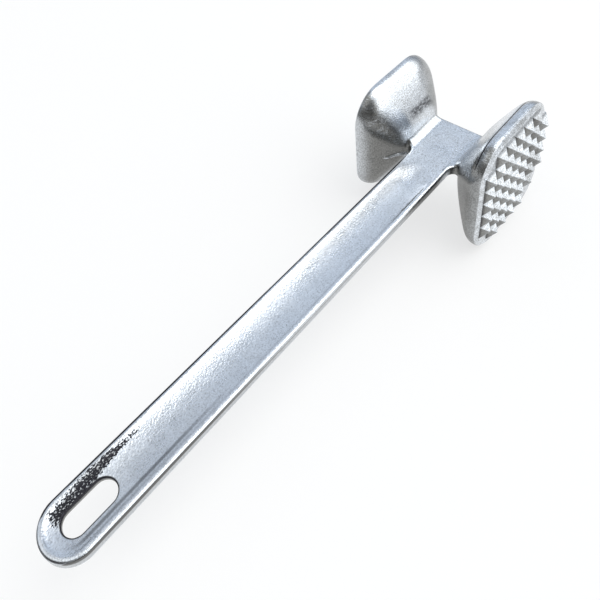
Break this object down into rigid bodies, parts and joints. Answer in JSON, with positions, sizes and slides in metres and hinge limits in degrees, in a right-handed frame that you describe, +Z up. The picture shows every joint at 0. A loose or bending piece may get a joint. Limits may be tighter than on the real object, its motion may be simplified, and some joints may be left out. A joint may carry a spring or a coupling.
{
  "type": "meat mallet",
  "caption": "One-piece cast aluminium meat mallet: flat dished handle with a hanging slot, plate neck, and square domed-back heads with a coarse and a fine toothed face.",
  "frame": {"origin": "on the table plane, below the middle of the whole mallet's box, with the handle level", "axes": "+X along the handle towards the heads, +Y along the hammering axis towards the fine face, +Z up, square to the flat handle"},
  "size_m": [0.2382, 0.0676, 0.0588],
  "materials": {
    "grained_cast_aluminium": "bright die-cast aluminium with a fine cast grain, tumbled smooth",
    "bright_cast_aluminium": "bright die-cast aluminium, smoother, with soft reflections"
  },
  "bodies": {
    "root": {"hanging_end": "grained_cast_aluminium", "grip": "grained_cast_aluminium", "neck": "grained_cast_aluminium", "coarse_head_back": "bright_cast_aluminium", "coarse_face_slab": "bright_cast_aluminium", "coarse_toothed_pad": "bright_cast_aluminium", "fine_head_back": "bright_cast_aluminium", "fine_face_slab": "bright_cast_aluminium", "fine_toothed_pad": "bright_cast_aluminium"}
  },
  "joints": []
}
